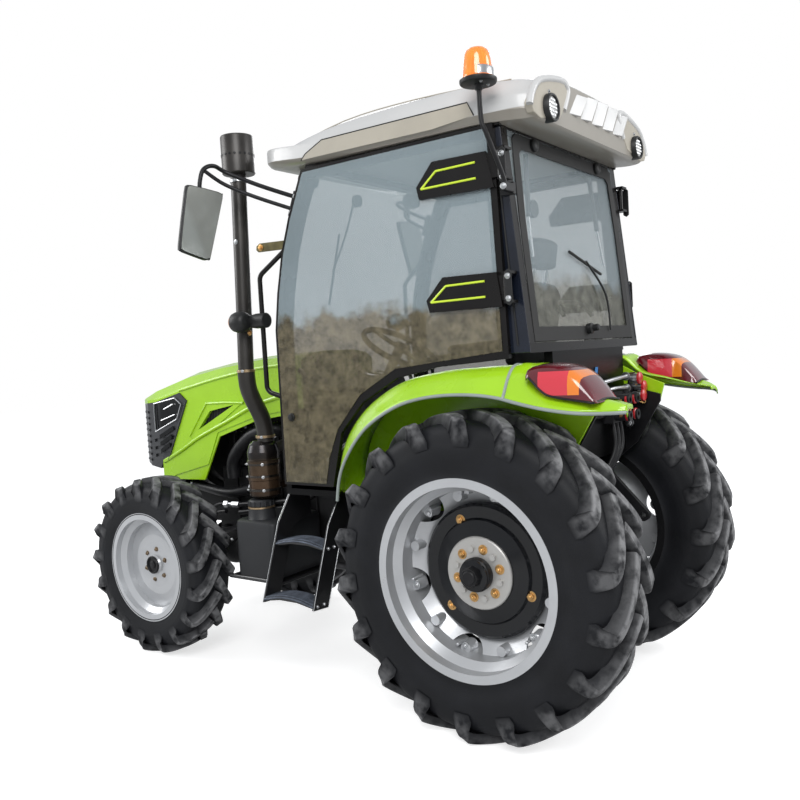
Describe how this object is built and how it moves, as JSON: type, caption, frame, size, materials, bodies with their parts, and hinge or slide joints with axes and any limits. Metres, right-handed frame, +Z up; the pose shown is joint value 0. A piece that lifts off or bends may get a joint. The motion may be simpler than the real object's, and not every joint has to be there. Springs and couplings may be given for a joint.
{
  "type": "farm tractor",
  "caption": "Compact four-wheel-drive farm tractor with a closed cab, lime green bonnet and fenders, lugged tyres, side exhaust and a rear three-point hitch",
  "frame": {"origin": "on the ground under the middle of the machine's bounding box", "axes": "+X forward, +Y to the driver's left, +Z up"},
  "size_m": [3.167, 1.85, 2.505],
  "materials": {
    "tyre": "matte",
    "rim": "satin",
    "weight": "satin",
    "black_paint": "satin",
    "engine_paint": "satin",
    "green_paint": "gloss",
    "roof_shell": "satin",
    "cab_paint": "satin",
    "glass": "gloss",
    "black_plastic": "matte",
    "red_lens": "gloss",
    "amber_lens": "gloss",
    "lamp": "gloss",
    "seat_cloth": "matte",
    "exhaust": "matte",
    "steel": "satin"
  },
  "bodies": {
    "chassis": {"beacon": "amber_lens", "cab_floor": "cab_paint", "cab_frame": "cab_paint", "cab_glass": "glass", "cab_interior": "black_plastic", "drawbar": "black_paint", "drive_shaft": "black_paint", "engine_block": "engine_paint", "exhaust_can": "exhaust", "exhaust_stack": "exhaust", "fender_left": "green_paint", "fender_right": "green_paint", "front_axle": "black_paint", "front_frame": "black_paint", "fuel_tank": "black_plastic", "mirror_left": "black_plastic", "mirror_right": "black_plastic", "pto_shaft": "steel", "radiator": "black_paint", "rear_axle_housing": "engine_paint", "remote_couplers": "steel", "roof": "roof_shell", "seat": "seat_cloth", "side_box": "black_plastic", "step_left": "black_paint", "step_right": "black_paint", "tail_lamps": "red_lens", "transmission": "engine_paint", "work_lamps": "lamp"},
    "rear_wheel_left": {"rear_tyre_left": "tyre", "rear_rim_left": "rim", "rear_weight_left": "weight", "rear_hub_left": "steel"},
    "steering_knuckle_left": {"knuckle_left": "black_paint"},
    "front_wheel_left": {"front_tyre_left": "tyre", "front_rim_left": "rim"},
    "cab_door_left": {"door_left": "cab_paint", "door_glass_left": "glass"},
    "rear_wheel_right": {"rear_tyre_right": "tyre", "rear_rim_right": "rim", "rear_weight_right": "weight", "rear_hub_right": "steel"},
    "steering_knuckle_right": {"knuckle_right": "black_paint"},
    "front_wheel_right": {"front_tyre_right": "tyre", "front_rim_right": "rim"},
    "cab_door_right": {"door_right": "cab_paint", "door_glass_right": "glass"},
    "track_rod": {"steering_rod": "steel"},
    "hood": {"bonnet": "green_paint", "bonnet_vents": "black_plastic", "grille": "black_plastic", "headlamps": "lamp"},
    "hitch_arms": {"lift_arms": "black_paint"}
  },
  "joints": [
    {"name": "rear_wheel_left_spin", "type": "hinge", "parent": "chassis", "child": "rear_wheel_left", "pos_m": [-0.9635, 0.55, 0.62], "axis": [0, 1, 0], "continuous": true},
    {"name": "steer_left", "type": "hinge", "parent": "chassis", "child": "steering_knuckle_left", "pos_m": [0.9935, 0.395, 0.45], "axis": [0, 0, 1], "range_deg": [-35, 35]},
    {"name": "front_wheel_left_spin", "type": "hinge", "parent": "steering_knuckle_left", "child": "front_wheel_left", "pos_m": [0.9935, 0.538, 0.45], "axis": [0, 1, 0], "continuous": true},
    {"name": "door_left_hinge", "type": "hinge", "parent": "chassis", "child": "cab_door_left", "pos_m": [-1.1415, 0.573, 1.9], "axis": [0, 0, 1], "range_deg": [0, 70]},
    {"name": "rear_wheel_right_spin", "type": "hinge", "parent": "chassis", "child": "rear_wheel_right", "pos_m": [-0.9635, -0.55, 0.62], "axis": [0, 1, 0], "continuous": true},
    {"name": "steer_right", "type": "hinge", "parent": "chassis", "child": "steering_knuckle_right", "pos_m": [0.9935, -0.395, 0.45], "axis": [0, 0, 1], "range_deg": [-35, 35]},
    {"name": "front_wheel_right_spin", "type": "hinge", "parent": "steering_knuckle_right", "child": "front_wheel_right", "pos_m": [0.9935, -0.538, 0.45], "axis": [0, 1, 0], "continuous": true},
    {"name": "door_right_hinge", "type": "hinge", "parent": "chassis", "child": "cab_door_right", "pos_m": [-1.1415, -0.573, 1.9], "axis": [0, 0, -1], "range_deg": [0, 70]},
    {"name": "track_rod_slide", "type": "slide", "parent": "chassis", "child": "track_rod", "axis": [0, 1, 0], "range_m": [-0.0805, 0.0805]},
    {"name": "hood_hinge", "type": "hinge", "parent": "chassis", "child": "hood", "pos_m": [0.1715, 0, 1.47], "axis": [0, -1, 0], "range_deg": [0, 50]},
    {"name": "hitch_lift", "type": "hinge", "parent": "chassis", "child": "hitch_arms", "pos_m": [-1.1135, 0, 0.89], "axis": [0, 1, 0], "range_deg": [0, 60]}
  ],
  "couplings": [
    {"joint": "steer_right", "follows": "steer_left", "ratio": 1},
    {"joint": "track_rod_slide", "follows": "steer_left", "m_per_rad": -0.1315}
  ]
}
